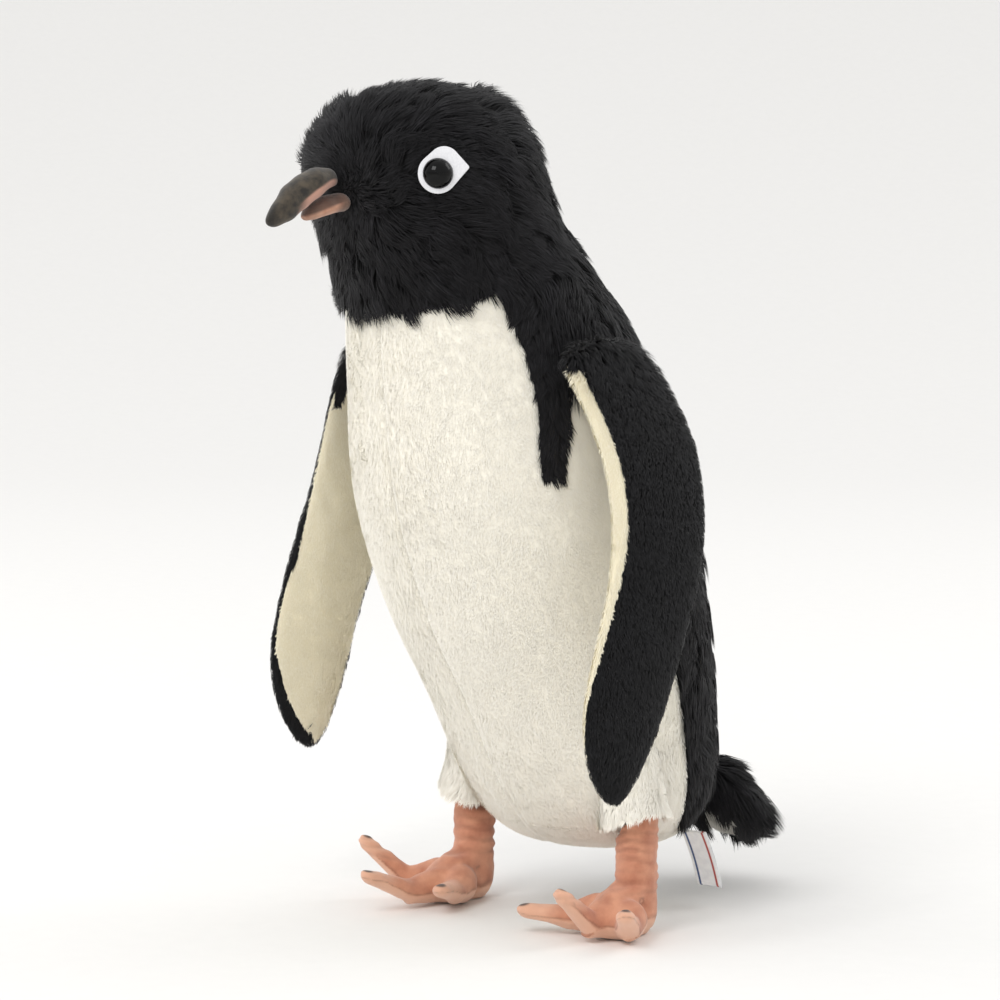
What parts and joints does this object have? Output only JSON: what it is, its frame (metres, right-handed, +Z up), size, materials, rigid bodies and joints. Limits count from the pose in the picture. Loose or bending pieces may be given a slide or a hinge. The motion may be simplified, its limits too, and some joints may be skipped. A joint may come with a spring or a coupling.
{
  "type": "plush penguin",
  "caption": "Standing plush penguin with black pile head, back and flippers, white pile belly, soft hooked beak, felt eye patches, suede webbed feet and shaggy tail.",
  "frame": {"origin": "on the ground, under the middle of the toy's bounding box", "axes": "-Y the way the penguin faces, +X its left side, +Z up"},
  "size_m": [0.1732, 0.2328, 0.2895],
  "materials": {
    "black_pile": "long acrylic pile",
    "black_short_pile": "short clipped pile",
    "white_pile": "short soft pile",
    "cream_pile": "short clipped pile",
    "grey_pile": "short soft pile",
    "fibre": "loose polyester filling",
    "pellets": "plastic granules in a cloth bag",
    "beak_dark": "airbrushed plush, clipped very short",
    "beak_pink": "airbrushed plush, clipped very short",
    "eye_plastic": "polished black",
    "washer_plastic": "moulded",
    "white_felt": "pressed felt",
    "peach_suede": "brushed microsuede, airbrushed",
    "steel_wire": "drawn wire",
    "woven_label": "woven satin ribbon"
  },
  "bodies": {
    "torso": {"back_skin": "black_pile", "belly_left": "white_pile", "belly_right": "white_pile", "left_shoulder_tab": "black_pile", "right_shoulder_tab": "black_pile", "base_panel": "white_pile", "torso_stuffing": "fibre", "pellet_bag": "pellets", "left_thigh_cuff": "white_pile", "right_thigh_cuff": "white_pile", "left_foot_upper": "peach_suede", "left_foot_sole": "peach_suede", "left_foot_stuffing": "fibre", "left_leg_wire": "steel_wire", "right_foot_upper": "peach_suede", "right_foot_sole": "peach_suede", "right_foot_stuffing": "fibre", "right_leg_wire": "steel_wire"},
    "head": {"head_skin": "black_pile", "head_stuffing": "fibre", "upper_beak": "beak_dark", "lower_beak": "beak_pink", "left_eye": "eye_plastic", "right_eye": "eye_plastic", "left_eye_patch": "white_felt", "right_eye_patch": "white_felt", "left_eye_washer": "washer_plastic", "right_eye_washer": "washer_plastic"},
    "left_flipper": {"left_flipper_outer": "black_short_pile", "left_flipper_inner": "cream_pile", "left_flipper_padding": "fibre"},
    "right_flipper": {"right_flipper_outer": "black_short_pile", "right_flipper_inner": "cream_pile", "right_flipper_padding": "fibre"},
    "tail": {"tail_top": "black_pile", "tail_underside": "grey_pile", "tail_stuffing": "fibre"},
    "label": {"sewn_label": "woven_label"}
  },
  "joints": [
    {"name": "head_turn", "type": "hinge", "parent": "torso", "child": "head", "pos_m": [0, -0.03357, 0.227], "axis": [0, -0.309, 0.9511], "range_deg": [-12, 12], "stiffness_Nm_per_rad": 0.25},
    {"name": "left_flipper_swing", "type": "hinge", "parent": "torso", "child": "left_flipper", "pos_m": [0.0525, -0.01677, 0.205], "axis": [0, -1, 0], "range_deg": [-4, 60], "stiffness_Nm_per_rad": 0.16},
    {"name": "right_flipper_swing", "type": "hinge", "parent": "torso", "child": "right_flipper", "pos_m": [-0.0525, -0.01677, 0.205], "axis": [0, 1, 0], "range_deg": [-4, 60], "stiffness_Nm_per_rad": 0.16},
    {"name": "tail_lift", "type": "hinge", "parent": "torso", "child": "tail", "pos_m": [0, 0.07293, 0.0465], "axis": [1, 0, 0], "range_deg": [-10, 15], "stiffness_Nm_per_rad": 0.12},
    {"name": "label_flap", "type": "hinge", "parent": "torso", "child": "label", "pos_m": [0.027, 0.05363, 0.0282], "axis": [0.9781, 0.2079, 0], "range_deg": [-15, 40], "stiffness_Nm_per_rad": 0.0008}
  ]
}
